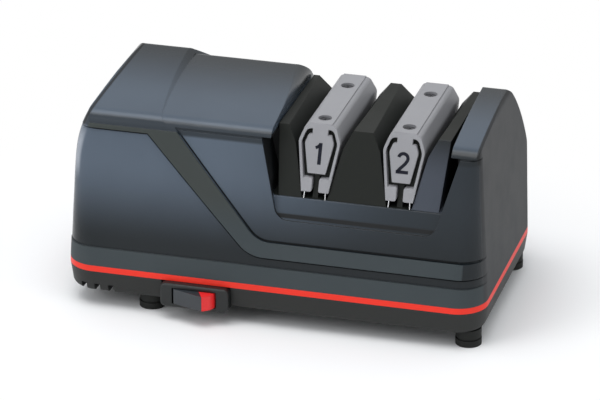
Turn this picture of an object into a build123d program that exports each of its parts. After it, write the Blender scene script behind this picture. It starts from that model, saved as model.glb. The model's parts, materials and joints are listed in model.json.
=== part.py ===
"""Electric knife sharpener with two guided sharpening stages.

A shaded-pole motor in the left block of the housing turns one shaft along X.
Two pairs of sprung cone discs ride on that shaft, one pair under each knife guide.
Millimetres. +X runs to the right end, +Y to the back, +Z up.
The origin is on the table, under the centre of the machine.
"""
import os
from math import cos, hypot, radians, sin, sqrt, tan

from build123d import *

os.makedirs("parts", exist_ok=True)

# ---------------------------------------------------------------- housing envelope
length = 210.0  # over both ends, at the seam
depth = 114.8  # front to back, at the seam
foot_height = 8.6  # table to the underside of the base
base_height = 11.2  # underside of the base to the red stripe
stripe_height = 3.0
stripe_depth = 1.2  # how deep the stripe is let into the housing
skirt_height = 9.5  # plain skirt between the stripe and the sunk panels
wall = 2.6  # moulded wall of both housings
front_lean_low = 3.0  # degrees that the front face leans back at the seam
front_lean_high = 7.0  # and at the top; it bulges a little in between
right_lean = 3.0  # degrees that the right end leans in
left_lean = 4.0  # degrees that the left end leans in
left_end_radius = 62.0  # and the radius on which its top curls in
left_end_rise = 55.0  # rise of the left end before it curls
corner_radius_low = 15.0  # vertical corners at the seam
corner_radius_high = 5.0  # the same corners at the tallest point

# ---------------------------------------------------------------- top of the housing
nose_back = 2.1  # front face to where the top slope starts
nose_level = 100.4  # height there
nose_round = 8.5
nose_dip = 70.0  # degrees that the nose turns down at the front
top_crown = 1.1  # bulge of the top slope
crest_back = 65.4  # front face to the crest
crest_left = 112.0  # crest heights of the three blocks
crest_middle = 109.3
crest_right = 107.6
crest_round = 3.0
crest_margin = 0.05
end_round_left = 6.0  # the crest's corner at each end, seen from the front
end_round_right = 4.0
back_radius = 100.0  # the long curve down the back
back_overlap = 0.12  # the curve starts this far behind the plain back wall
back_straight = 6.5  # straight rise of the right block's back above the seam
step_front_x = -56.5  # foot of the step between the left and the middle block
step_back_x = -58.0
step_slant = 40.0  # degrees that the step's face rises

# ---------------------------------------------------------------- front relief
relief_depth = 1.1  # the glossy panels lie this far behind the bands
groove_width = 0.9  # shadow groove round each panel
groove_depth = 0.7
left_panel_top = 93.4
right_panel_top = 97.2
band_low = 37.2  # the level band
band_high = 45.1
diagonal_top_x = -62.2  # diagonal band: left edge at the top of the left panel
diagonal_foot_x = -10.6  # and at the level band
inner_top_x = -49.0  # right edge of that band, at the top of the right panel
inner_foot_x = -6.4  # and at the top of the level band
band_bend_outer = 16.0
band_bend_inner = 13.0

# ---------------------------------------------------------------- knife channel
channel_left = -1.2  # left inner face of the channel between the blocks
channel_right = length / 2 * 0.8286  # right inner face
channel_floor = 68.3
channel_front = -depth / 2 + 7.73
channel_back = depth / 2 - 18.73
channel_crest_round = 6.5  # where the middle block rolls into the channel
sill_front = 57.0  # lip of the window in the front face
sill_back = 61.5
window_left_low = channel_left + 3.9  # edges of the mouth, at the lip and at the top
window_left_high = channel_left - 4.55
window_right_low = channel_right - 7.2
window_right_high = channel_right + 4.65
window_top = 97.2
flare_reach = 15.0  # the front mouth's flare runs this far into the channel
window_round = 7.0
lip_land = 2.0  # flat land on top of the lip

# ---------------------------------------------------------------- ribs and guides
channel_width = channel_right - channel_left
stage_x = (channel_left + 0.2449 * channel_width, channel_left + 0.7166 * channel_width)
rib_top = 100.2
rib_shoulder = 92.0
rib_clear_low = 6.26  # stage centre to rib face, at the channel floor
rib_clear_high = 11.7  # and at the shoulder
rib_clear_top = 15.9  # and at the rib's top
rib_lean = 21.5  # degrees that both ends of a rib lean in
rib_taper = 2.2  # each rib's top narrows by this at every side, from its front to its back
rib_end_left = (3.76, 0.7)  # left rib to the channel's left face, at the floor and at the top
rib_end_right = (5.44, 2.9)  # right rib to the channel's right face
rib_wall = 2.0
flange_gap = 0.2  # flange under the floor to the housing's walls
guide_top = 102.4
guide_plate_rise = 0.5  # raised strip along the top
guide_plate_half = 5.6
guide_crown_half = 7.3  # outer half-width at the top, before rounding
guide_half_high = 10.3  # outer half-width at the shoulder
guide_half_low = 6.7  # and at the foot
guide_shoulder = 94.2
guide_foot = 71.6
guide_wall = 1.4
guide_roof = 2.1
guide_round = 5.0
crown_round = 3.0
guide_proud = 1.0  # guides stand this far in front of the ribs
foot_pad_height = 6.2
foot_pad_gap = 3.4
plate_thickness = 1.8  # the number plate hung in the guide's mouth
plate_half_high = 7.1
plate_half_low = 4.4
plate_half_top = 5.6
plate_shoulder = 93.4
plate_top = 97.2
plate_bottom = 79.9
plate_neck_half = 3.8
shield_gap = 0.35  # black shields inside the guides' ends to the guides' walls
shield_setback = 2.6  # behind the guides' leaning ends
shield_thickness = 1.8
guide_screw_head = 5.8
guide_screw_sink = 1.9
leaf_thickness = 0.4  # steel strips inside the guides
leaf_low = 5.3  # from the stage centre, at the floor
leaf_high = 4.9  # and at the strip's top
leaf_height = 6.8
leaf_setback = 0.8
guide_screw_reach = 21.0  # shaft axis to each guide screw

# ---------------------------------------------------------------- drive line
shaft_y = -9.0
shaft_z = 54.0
shaft_radius = 3.0
running_gap = 0.05  # radial clearance of running fits
shaft_left = -88.0
shaft_right = length / 2 - 10.0
disc_radius = 24.0
disc_hub_radius = 7.0
disc_thickness = 2.0
disc_cone = 3.2  # the hub stands this far outboard of the rim
disc_face = 5.9  # stage centre to the outer rim face
disc_hub_length = 3.0
disc_slot_gap = 0.5
disc_travel = 0.6  # slide of each disc towards the stage centre
drive_pin_radius = 1.0
drive_pin_length = 11.0
spring_radius = 5.2
spring_wire = 0.8
spring_turns = 2.5
spring_clear = 0.2  # left between spring and hub with the disc pushed in

# ---------------------------------------------------------------- motor
stack_x = -46.0
stack_thickness = 25.0
stack_half_height = 24.0
stack_front = -24.0  # from the shaft
stack_back = 42.0
stack_limb = 14.0
rotor_radius = 13.0
air_gap = 0.5
bobbin_flange = 1.6
bobbin_clear = 0.3
coil_build = 8.0
bracket_offset = 11.0  # stack face to bracket plate
bracket_thickness = 2.5
bracket_width = 16.0
bearing_radius = 6.5
bearing_length = 7.0
tie_bolt_z = 19.5  # from the shaft
tie_bolt_radius = 1.75
fan_radius = 24.0
fan_hub_radius = 7.0
fan_width = 7.0
fan_blades = 7
fan_x = -81.0
end_play = 0.3  # washer to bearing
washer_thickness = 1.2
washer_radius = 5.5
outboard_x = length / 2 - 14.5
outboard_foot_half = 14.0

# ---------------------------------------------------------------- switch
switch_x = -37.0
bezel_width = 34.6
bezel_height = 12.4
bezel_proud = 3.6
bezel_top_gap = 0.1  # bezel to the stripe
rocker_height = 7.6
rocker_radius = 10.8
rocker_gap = 0.35
rocker_pivot_in = 3.2  # bezel face to the pivot
rocker_ridge_x = 5.6
rocker_ridge_out = 5.6
pin_radius = 1.0
switch_body_depth = 16.0
switch_body_half = 13.0

# ---------------------------------------------------------------- base
foot_radius = 6.4
foot_left = -length / 2 + 42.1
foot_right = length / 2 - 8.8
foot_side = depth / 2 - 12.1
foot_places = (
    (foot_right, -foot_side),
    (foot_left, -foot_side),
    (foot_right, foot_side),
    (foot_left, foot_side),
)
foot_stem_radius = 3.2
foot_rim = 3.2
foot_groove = 0.7
vent_places = (-80.7, -87.7, -94.6)
vent_width = 2.8
vent_height = 4.2
base_taper = 1.6
base_round = 3.0
cover_x = (stage_x[0] + stage_x[1]) / 2
cover_length = 64.0
cover_width = 40.0
cover_thickness = 2.0
cover_gap = 0.3
magnet_size = (34.0, 10.0, 3.0)
boss_left = -length / 2 + 9.0
boss_right = length / 2 - 8.0
boss_back = depth / 2 - 11.4
boss_places = ((boss_left, -30.0), (boss_left, 30.0), (6.0, boss_back), (boss_right, 22.0))
boss_radius = 3.6
boss_top = 40.0
screw_reach = 10.0  # how far the housing screws enter the upper housing
screw_radius = 1.5
screw_head_radius = 3.0
cord_x = -40.0
cord_z = 14.2
cord_bore_radius = 3.4
cord_bush_radius = 5.0
cord_flange_radius = 5.4

# ---------------------------------------------------------------- derived levels
stripe_low = foot_height + base_height
stripe_high = stripe_low + stripe_height
relief_low = stripe_high + skirt_height
half_length = length / 2
half_depth = depth / 2
top_of_stations = crest_left + 3.0
station_count = 10
sunk_end_margin = 0.02  # keeps the sunk panels' ends off the end faces


def front_at(z):
    """Y of the front face at height z."""
    low = tan(radians(front_lean_low))
    high = tan(radians(front_lean_high))
    rise = z - stripe_low
    return -half_depth + rise * low + rise**2 * (high - low) / (2 * (nose_level - stripe_low))


def left_at(z):
    """X of the left end at height z."""
    rise = max(0.0, z - stripe_low - left_end_rise)
    curl = left_end_radius - sqrt(left_end_radius**2 - rise**2)
    return -half_length + (z - stripe_low) * tan(radians(left_lean)) + curl


def right_at(z):
    """X of the right end at height z."""
    return half_length - (z - stripe_low) * tan(radians(right_lean))


def corner_at(z):
    """Radius of the vertical corners at height z."""
    share = (z - stripe_low) / (crest_left - stripe_low)
    return corner_radius_low + (corner_radius_high - corner_radius_low) * share


def block(x0, x1, y0, y1, z0, z1):
    """A box between two corners."""
    return Pos((x0 + x1) / 2, (y0 + y1) / 2, (z0 + z1) / 2) * Box(x1 - x0, y1 - y0, z1 - z0)


def rod(axis, radius, start, end, at):
    """A round bar along X, Y or Z from start to end; at holds the two other coordinates."""
    middle = (start + end) / 2
    bar = Cylinder(radius, end - start)
    if axis == "X":
        return Pos(middle, at[0], at[1]) * Rot(0, 90, 0) * bar
    if axis == "Y":
        return Pos(at[0], middle, at[1]) * Rot(90, 0, 0) * bar
    return Pos(at[0], at[1], middle) * bar


def along_x(points, x0, x1):
    """A prism of a (y, z) outline from x0 to x1."""
    face = make_face(Polyline(*points, close=True))
    return Pos(x0, 0, 0) * extrude(Plane.YZ * face, x1 - x0)


def along_y(points, y0, y1, round_at=(), radius=0.0):
    """A prism of an (x, z) outline from y0 to y1, with the corners named in round_at rounded."""
    face = make_face(Polyline(*points, close=True))
    if radius > 0:
        corners = [v for v in face.vertices() for p in round_at if hypot(v.X - p[0], v.Y - p[1]) < 1e-3]
        face = fillet(corners, radius)
    plane = Plane(origin=(0, y0, 0), x_dir=(1, 0, 0), z_dir=(0, -1, 0))
    return extrude(plane * face, -(y1 - y0))


def station(z, inset, sunk):
    """Level outline of the housing at height z, drawn inset all round, with its front sunk further."""
    grow = sunk_end_margin if sunk > 0 else 0.0
    x0 = left_at(z) + inset - grow
    x1 = right_at(z) - inset + grow
    y0 = front_at(z) + inset + sunk
    y1 = half_depth - inset
    radius = max(0.8, corner_at(z) - inset)
    return Pos((x0 + x1) / 2, (y0 + y1) / 2, z) * RectangleRounded(x1 - x0, y1 - y0, radius)


def side_walls(inset, sunk=0.0):
    """The leaning walls of the upper housing, before the top is shaped."""
    rise = (top_of_stations - stripe_low) / (station_count - 1)
    return loft([station(stripe_low + rise * i, inset, sunk) for i in range(station_count)])


def top_profile(crest, inset, x0, x1):
    """Everything under the top and back surfaces of one block, from x0 to x1."""
    nose_y = front_at(nose_level) + nose_back
    crest_y = front_at(nose_level) + crest_back
    slope = (crest - nose_level) / (crest_y - nose_y)
    drop = inset * sqrt(1 + slope**2)
    radius = back_radius - inset
    centre_y = half_depth - back_radius + back_overlap
    centre_z = stripe_low + back_straight + (crest - crest_right)

    # The slope line z = a + slope * y meets the back curve on the far side.
    a = nose_level - drop - slope * nose_y - centre_z
    qa = 1 + slope**2
    qb = 2 * (slope * a - centre_y)
    qc = centre_y**2 + a**2 - radius**2
    meet_y = (-qb + sqrt(qb**2 - 4 * qa * qc)) / (2 * qa)
    meet_z = centre_z + a + slope * meet_y

    start = (nose_y, nose_level - drop)
    reach = 2.5 * nose_back
    tip = (start[0] - reach * cos(radians(nose_dip)), start[1] - reach * sin(radians(nose_dip)))
    far = -depth
    back = centre_y + radius
    run = hypot(meet_y - start[0], meet_z - start[1])
    crown = (
        (start[0] + meet_y) / 2 - top_crown * (meet_z - start[1]) / run,
        (start[1] + meet_z) / 2 + top_crown * (meet_y - start[0]) / run,
    )
    mid_angle_z = (meet_z + centre_z) / 2
    mid_y = centre_y + sqrt(radius**2 - (mid_angle_z - centre_z) ** 2)
    outline = (
        Line((far, tip[1]), tip)
        + Line(tip, start)
        + ThreePointArc(start, crown, (meet_y, meet_z))
        + ThreePointArc((meet_y, meet_z), (mid_y, mid_angle_z), (back, centre_z))
        + Line((back, centre_z), (back, 0))
        + Line((back, 0), (far, 0))
        + Line((far, 0), (far, tip[1]))
    )
    face = make_face(outline)
    for point, size in ((start, nose_round), ((meet_y, meet_z), crest_round)):
        corner = [v for v in face.vertices() if hypot(v.X - point[0], v.Y - point[1]) < 1e-3]
        face = fillet(corner, max(0.5, size - inset))
    return Pos(x0, 0, 0) * extrude(Plane.YZ * face, x1 - x0)


def step_keep():
    """Everything left of the slanting step, for the taller left block."""
    foot = Vector(step_front_x, front_at(nose_level) + nose_back, nose_level)
    head = Vector(step_back_x, front_at(nose_level) + crest_back, crest_middle)
    uphill = Vector(-cos(radians(step_slant)), 0, sin(radians(step_slant)))
    outward = (head - foot).cross(uphill)
    size = 3 * length
    side = 1 if outward.X > 0 else -1
    plane = Plane(origin=foot, x_dir=head - foot, z_dir=outward * side)
    return plane * Pos(0, 0, -size / 2) * Box(size, size, size)


def under_top(inset):
    """Everything under the three top surfaces."""
    split = (channel_left + channel_right) / 2
    margin = 5.0
    left = top_profile(crest_left, inset, -half_length - margin, 0) & step_keep()
    middle = top_profile(crest_middle, inset, -half_length - margin, split)
    right = top_profile(crest_right, inset, split, half_length + margin)
    return left + middle + right


def end_rounding(inset):
    """Two long prisms, one over each half, that round the crest's corner at both ends."""
    split = (channel_left + channel_right) / 2
    reach = 2 * depth
    halves = []
    for edge_at, crest, sign, size in (
        (left_at, crest_left, 1, end_round_left),
        (right_at, crest_right, -1, end_round_right),
    ):
        top = crest + crest_margin - inset
        x = edge_at(crest) + sign * inset
        slope = (edge_at(crest + crest_margin) - edge_at(crest)) / crest_margin
        points = [(x - slope * top, 0), (x, top), (split, top), (split, 0)]
        radius = max(0.8, size - inset)
        halves.append(along_y(points, -reach, reach, round_at=points[1:2], radius=radius))
    return halves[0] + halves[1]


def envelope(inset=0.0):
    """The closed outer form of the upper housing, or that form shrunk by inset."""
    return side_walls(inset) & under_top(inset) & end_rounding(inset)


def channel_cut(grow=0.0):
    """The knife channel between the middle and the right block, open at both ends above the noses."""
    top = crest_left + 20
    reach = 2 * depth
    x0, x1 = channel_left - grow, channel_right + grow
    well = block(x0, x1, channel_front - grow, channel_back + grow, channel_floor - grow, top)
    radius = channel_crest_round
    valley = block(x0, x1, -reach, reach, window_top - grow, top)
    centre_z = crest_middle - radius
    cut = well + valley
    if grow > 0:
        return cut
    corner = block(x0 - radius, x0 + 0.01, -reach, reach, centre_z, top)
    return cut + (corner - rod("Y", radius, -reach, reach, (x0 - radius, centre_z)))


def window_cut(side, grow=0.0):
    """The flared mouth of the channel in the front (side -1) or back (side 1) wall, with its sloping sill."""
    low = (sill_front if side < 0 else sill_back) - grow
    high = window_top + (2.0 if side > 0 else 0.0)
    points = [
        (window_left_low - grow, low),
        (window_right_low + grow, low),
        (window_right_high + grow, high),
        (window_left_high - grow, high),
    ]
    well_y = channel_front + grow if side < 0 else channel_back - grow
    lip_y = front_at(sill_front) if side < 0 else half_depth
    inner_y = well_y + (flare_reach if side < 0 else 0.0)
    y0, y1 = sorted((inner_y, 1.5 * lip_y + side * wall))
    mouth = along_y(points, y0, y1, round_at=points[:2], radius=window_round)
    lip_inner = lip_y - side * (lip_land + grow)
    x0, x1 = window_left_high - 10, window_right_high + 10
    floor = channel_floor - grow
    under = low - 20
    ramp = [(inner_y - side, floor), (well_y, floor), (lip_inner, low), (lip_inner, under), (inner_y - side, under)]
    if inner_y == well_y:
        ramp = ramp[1:4] + [(well_y, under)]
    return mouth - along_x(ramp, x0, x1)


def panel_outlines():
    """The (x, z) outlines of the left panel, with the strip under the level band, and of the right one."""
    far = half_length + 10
    left = [
        (-far, relief_low),
        (far, relief_low),
        (far, band_low),
        (diagonal_foot_x, band_low),
        (diagonal_top_x, left_panel_top),
        (-far, left_panel_top),
    ]
    right = [
        (inner_foot_x, band_high),
        (far, band_high),
        (far, right_panel_top),
        (inner_top_x, right_panel_top),
    ]
    return (left, left[3], band_bend_outer), (right, right[0], band_bend_inner)


def panel_cut(points, bend, radius, sunk, border=0.0):
    """What lies in front of a sunk panel; with a border, only a strip along the panel's outline."""
    face = make_face(Polyline(*points, close=True))
    corner = [v for v in face.vertices() if hypot(v.X - bend[0], v.Y - bend[1]) < 1e-3]
    face = fillet(corner, radius)
    if border > 0:
        face = face - offset(face, -border)
    prism = extrude(Plane.XZ * face, depth)
    return prism - side_walls(0, sunk)


def front_relief():
    """What is cut from the front face: two sunk panels, each with a finer groove along its border."""
    cuts = []
    for points, bend, radius in panel_outlines():
        cuts.append(panel_cut(points, bend, radius, relief_depth))
        groove = panel_cut(points, bend, radius, relief_depth + groove_depth, groove_width)
        ledge = block(-length, length, -depth, 0, 0, relief_low + groove_width + 0.01)
        cuts.append(groove - ledge)
    return cuts


def screw_bosses():
    """The upper housing's bosses, each webbed to the nearest wall."""
    body = None
    for x, y in boss_places:
        column = rod("Z", boss_radius, stripe_low, boss_top, (x, y))
        if abs(y) > 40:
            web = block(x - 1, x + 1, y, depth, stripe_low, boss_top)
        else:
            x0, x1 = sorted((x, length * x / abs(x)))
            web = block(x0, x1, y - 1, y + 1, stripe_low, boss_top)
        column = column + (web & envelope(wall / 2))
        column = column - rod("Z", screw_radius, stripe_low - 1, stripe_low + screw_reach + 1, (x, y))
        body = column if body is None else body + column
    return body


def upper_housing():
    """The glossy upper shell with its panels, bands, knife channel and screw bosses."""
    outer = envelope()
    outer = outer - channel_cut() - window_cut(-1) - window_cut(1)
    for cut in front_relief():
        outer = outer - cut
    cavity = envelope(wall) - channel_cut(wall) - window_cut(-1, wall) - window_cut(1, wall)
    x0, x1 = channel_left - wall, channel_right + wall
    cavity = cavity - block(x0, x1, -depth, depth, window_top - wall, crest_left + 20)
    shell = outer - cavity
    opening = block(
        channel_left,
        channel_right,
        channel_front,
        channel_back,
        channel_floor - wall,
        channel_floor + 1,
    )
    shell = shell - opening
    recess = side_walls(0) - side_walls(stripe_depth)
    shell = shell - (recess & block(-length, length, -depth, depth, stripe_low - 1, stripe_high))
    return shell + screw_bosses()


def lower_level(z, inset):
    """Level outline of the base at height z; it narrows towards the table."""
    taper = base_taper * (stripe_low - z) / base_height
    x0, x1 = -half_length + taper + inset, half_length - taper - inset
    y0, y1 = -half_depth + taper + inset, half_depth - taper - inset
    radius = max(0.8, corner_radius_low - taper - inset)
    return Pos((x0 + x1) / 2, (y0 + y1) / 2, z) * RectangleRounded(x1 - x0, y1 - y0, radius)


def base_tray(inset, low, high):
    """A solid tray form of the base, shrunk by inset, from low to high."""
    return loft([lower_level(low, inset), lower_level(high, inset)], ruled=True)


base_floor = foot_height + wall
bezel_face = -half_depth - bezel_proud
bezel_back = -half_depth + wall + 2.0
switch_z = stripe_low - bezel_top_gap - bezel_height / 2
rocker_pivot_y = bezel_face + rocker_pivot_in
rocker_slot_half = rocker_radius + rocker_gap
cord_reach = half_depth + bezel_proud + rocker_ridge_out  # the bushing balances the rocker
pedestal_top = shaft_z - stack_half_height - 1.0


def bracket_x(side):
    """Inner face of the motor bracket on one side of the stack."""
    return stack_x + side * (stack_thickness / 2 + bracket_offset)


def lower_housing():
    """The black base: tray, vents, motor pedestals, screw pillars and foot sockets."""
    tray = base_tray(0, foot_height, stripe_low)
    rim = [e for e in tray.edges() if e.bounding_box().max.Z < foot_height + 0.01]
    tray = fillet(rim, base_round)
    tray = tray - base_tray(wall, base_floor, stripe_low + 1)
    for side in (-1, 1):
        x = bracket_x(side) + side * bracket_thickness / 2
        half = bracket_width / 2
        tray = tray + block(x - 3, x + 3, shaft_y - half, shaft_y + half, base_floor - 0.5, pedestal_top)
    for x, y in boss_places:
        tray = tray + rod("Z", boss_radius, base_floor - 0.5, stripe_low, (x, y))
        tray = tray - rod("Z", screw_radius + 0.2, 0, stripe_low + 1, (x, y))
        tray = tray - rod("Z", screw_head_radius + 0.3, 0, foot_height + 2.0, (x, y))
    for x, y in foot_places:
        tray = tray + rod("Z", foot_stem_radius + 1.8, base_floor - 0.5, base_floor + 2.5, (x, y))
        tray = tray - rod("Z", foot_stem_radius, 0, base_floor + 3.0, (x, y))
    for x in vent_places:
        half = vent_width / 2
        tray = tray - block(x - half, x + half, -depth, -half_depth + 9.0, 0, foot_height + vent_height)
    half = bezel_width / 2 + 0.1
    tray = tray - block(switch_x - half, switch_x + half, -depth, bezel_back, 0, stripe_low + 1)
    half = switch_body_half + 0.1
    pocket_y = bezel_back + switch_body_depth + 0.1
    tray = tray - block(switch_x - half, switch_x + half, bezel_back - 1, pocket_y, 0, stripe_low + 1)
    tray = tray - rod("Y", cord_bush_radius, 0, depth, (cord_x, cord_z))
    opening = block(
        cover_x - cover_length / 2 + 4,
        cover_x + cover_length / 2 - 4,
        shaft_y - cover_width / 2 + 4,
        shaft_y + cover_width / 2 - 4,
        0,
        base_floor + 1,
    )
    seat = block(
        cover_x - cover_length / 2 - cover_gap,
        cover_x + cover_length / 2 + cover_gap,
        shaft_y - cover_width / 2 - cover_gap,
        shaft_y + cover_width / 2 + cover_gap,
        0,
        foot_height + 1.2,
    )
    return tray - opening - seat


def pinstripe_band():
    """The red band let in between the two housings."""
    ring = side_walls(0) - side_walls(stripe_depth)
    return ring & block(-length, length, -depth, depth, stripe_low, stripe_high)


end_reach_up = 20.0  # the end planes are drawn this far past the ribs
end_reach_down = 30.0


def end_wedges(offset_front=0.0, offset_back=0.0):
    """The space between the leaning end planes of the ribs, moved out by the offsets."""
    lean = tan(radians(rib_lean))
    high, low = rib_top + end_reach_up, channel_floor - end_reach_down
    run = (high - channel_floor) * lean
    drop = (channel_floor - low) * lean
    front = channel_front - offset_front
    back = channel_back + offset_back
    points = [(front - drop, low), (back + drop, low), (back - run, high), (front + run, high)]
    return along_x(points, -half_length, half_length)


def rib_outlines(y, open_below=False):
    """The (x, z) outlines of the three ribs at depth y; open_below draws their sides down past the floor."""
    floor = channel_floor - (20 if open_below else 0)
    left, right = stage_x
    hi = rib_clear_high
    slant = (hi - rib_clear_low) / (rib_shoulder - channel_floor)
    lo = hi - slant * (rib_shoulder - floor)
    top = rib_clear_top + rib_taper * (y - rib_front_edge) / (rib_back_edge - rib_front_edge)
    share = (floor - channel_floor) / (rib_top - channel_floor)
    outer_left = [channel_left + rib_end_left[0] + share * (rib_end_left[1] - rib_end_left[0])]
    outer_right = [channel_right - rib_end_right[0] - share * (rib_end_right[1] - rib_end_right[0])]
    outer_left.append(channel_left + rib_end_left[1])
    outer_right.append(channel_right - rib_end_right[1])
    return (
        [
            (outer_left[0], floor),
            (left - lo, floor),
            (left - hi, rib_shoulder),
            (left - top, rib_top),
            (outer_left[1], rib_top),
        ],
        [
            (left + lo, floor),
            (right - lo, floor),
            (right - hi, rib_shoulder),
            (right - top, rib_top),
            (left + top, rib_top),
            (left + hi, rib_shoulder),
        ],
        [
            (right + lo, floor),
            (outer_right[0], floor),
            (outer_right[1], rib_top),
            (right + top, rib_top),
            (right + hi, rib_shoulder),
        ],
    )


def rib_bodies():
    """The three ribs before their ends are cut; their tops narrow towards the back."""
    y0, y1 = channel_front - 1, channel_back + 1
    bodies = []
    for near, far in zip(rib_outlines(y0), rib_outlines(y1)):
        faces = []
        for y, outline in ((y0, near), (y1, far)):
            plane = Plane(origin=(0, y, 0), x_dir=(1, 0, 0), z_dir=(0, -1, 0))
            faces.append(plane * make_face(Polyline(*outline, close=True)))
        bodies.append(loft(faces, ruled=True))
    return bodies


rib_run = (rib_top - channel_floor) * tan(radians(rib_lean))
rib_front_edge = channel_front + rib_run
rib_back_edge = channel_back - rib_run


def disc_slot(stage):
    """Room for one pair of discs through the channel floor: wider below the floor, where the cones are."""
    at = (shaft_y, shaft_z)
    reach = disc_radius + disc_slot_gap
    low_half = cone_x(channel_floor - wall - 2.0) + disc_slot_gap
    high_half = cone_x(channel_floor) + disc_slot_gap
    low = rod("X", reach, stage - low_half, stage + low_half, at)
    low = low & block(-length, length, -depth, depth, 0, channel_floor)
    return low + rod("X", reach, stage - high_half, stage + high_half, at)


def cone_x(z):
    """Distance from the stage centre to a disc's outer face, straight above the shaft at height z."""
    return disc_face + disc_cone * (disc_radius - (z - shaft_z)) / (disc_radius - disc_hub_radius)


def guide_block():
    """The black insert in the channel: floor, three hollow ribs, guide posts and disc slots."""
    gap = 0.15
    lip = wall - flange_gap
    x0, x1 = channel_left, channel_right
    y0, y1 = channel_front, channel_back
    floor = block(x0 + gap, x1 - gap, y0 + gap, y1 - gap, channel_floor - wall, channel_floor)
    low = channel_floor - wall - 2.0
    inward = wall + flange_gap
    flange = block(x0 - lip, x1 + lip, y0 + inward, y1 - inward, low, channel_floor - wall)
    body = floor + flange
    ends = end_wedges(-gap, -gap)
    hollow_ends = end_wedges(-gap - rib_wall, -gap - rib_wall)
    hollows = []
    for rib in rib_bodies():
        body = body + (rib & ends)
    for outline in rib_outlines(rib_back_edge, True):
        face = offset(make_face(Polyline(*outline, close=True)), -rib_wall, kind=Kind.INTERSECTION)
        core = Pos(0, -depth, 0) * extrude(Plane.XZ * face, -2 * depth)
        hollows.append(core & hollow_ends)
    for core in hollows:
        body = body - core
    for stage in stage_x:
        for side in (-1, 1):
            y = shaft_y + side * guide_screw_reach
            y0, y1 = y - post_radius, y + post_radius
            body = body + block(stage - post_web, stage + post_web, y0, y1, channel_floor - 1, post_step)
            body = body + rod("Z", post_radius, post_step, guide_underside, (stage, y))
    for stage in stage_x:
        for end in (-1, 1):
            body = body + guide_shield(stage, end)
        for end in (-1, 1):
            at = (stage, shaft_y + end * guide_screw_reach)
            low = guide_underside - guide_screw_grip
            body = body - rod("Z", guide_screw_radius, low, guide_underside + 1, at)
        body = body - disc_slot(stage)
    return body


def guide_shield(stage, end):
    """A black wall inside one end of a guide, on a web that rises between the guide's feet."""
    inner = offset(guide_section(guide_wall), -shield_gap) & Pos(0, post_step + depth / 2) * Rectangle(depth, depth)
    web = Pos(0, (channel_floor - 1 + post_step + 1) / 2) * Rectangle(2 * post_web, post_step - channel_floor + 2)
    return prism_y(inner + web, stage) & end_sheet(end, shield_setback, shield_setback + shield_thickness)


post_radius = 2.4
post_web = 1.35
post_step = guide_foot + foot_pad_height + 0.4
guide_screw_radius = 1.25
guide_underside = guide_top - guide_plate_rise - guide_roof
guide_screw_grip = 12.0  # depth of the screw holes in the posts


def guide_section(wall_in):
    """Half-open outline of a guide: the outer one, or the inner one when wall_in is not zero."""
    top = guide_top - guide_plate_rise
    high, low, crown = guide_half_high, guide_half_low, guide_crown_half
    if wall_in > 0:
        slant = (high - low) / (guide_shoulder - guide_foot)
        low = low - wall_in - slant * 2.0
        high = high - wall_in
        crown = crown - 0.8
        top = guide_underside
    foot = guide_foot - (2.0 if wall_in > 0 else 0.0)
    shoulder = guide_shoulder - (0.6 if wall_in > 0 else 0.0)
    points = [(-low, foot), (low, foot), (high, shoulder), (crown, top), (-crown, top), (-high, shoulder)]
    face = make_face(Polyline(*points, close=True))
    less = 0.6 * wall_in
    rounds = ((2, guide_round - less), (5, guide_round - less), (3, crown_round), (4, crown_round))
    for index, radius in rounds:
        point = points[index]
        corner = [v for v in face.vertices() if hypot(v.X - point[0], v.Y - point[1]) < 1e-3]
        face = fillet(corner, radius)
    return face


def prism_y(face, centre):
    """An (x, z) face drawn about x = 0, moved to centre and run through the whole depth."""
    return Pos(centre, -depth, 0) * extrude(Plane.XZ * face, -2 * depth)


def end_sheet(end, near, far):
    """The sheet between two planes parallel to the guides' leaning front (end -1) or back (end 1)."""
    if end < 0:
        return end_wedges(guide_proud - near, 50) - end_wedges(guide_proud - far, 60)
    return end_wedges(50, guide_proud - near) - end_wedges(60, guide_proud - far)


def number_plate_face():
    """Outline of the plate that hangs in the mouth of a guide, with its neck."""
    neck, high, low = plate_neck_half, plate_half_high, plate_half_low
    points = [
        (-low, plate_bottom),
        (low, plate_bottom),
        (high, plate_shoulder),
        (plate_half_top, plate_top),
        (neck, plate_top),
        (neck, guide_underside + 0.5),
        (-neck, guide_underside + 0.5),
        (-neck, plate_top),
        (-plate_half_top, plate_top),
        (-high, plate_shoulder),
    ]
    face = make_face(Polyline(*points, close=True))
    for index, radius in ((2, 3.0), (9, 3.0), (3, 1.0), (8, 1.0), (0, 0.6), (1, 0.6)):
        corner = [v for v in face.vertices() if hypot(v.X - points[index][0], v.Y - points[index][1]) < 1e-3]
        face = fillet(corner, radius)
    return face


def leaf_plate(stage, side, sunk):
    """A thin plate in the foot of one arm of a guide, from the floor up, in front of the discs."""
    half = side * leaf_thickness / 2
    low_x, high_x = side * leaf_low, side * leaf_high
    high_z = channel_floor + leaf_height
    points = [
        (stage + low_x - half, channel_floor),
        (stage + low_x + half, channel_floor),
        (stage + high_x + half, high_z),
        (stage + high_x - half, high_z),
    ]
    return along_y(points, -depth, shaft_y - slot_half_y()) & end_wedges(guide_proud - sunk, 0)


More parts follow.
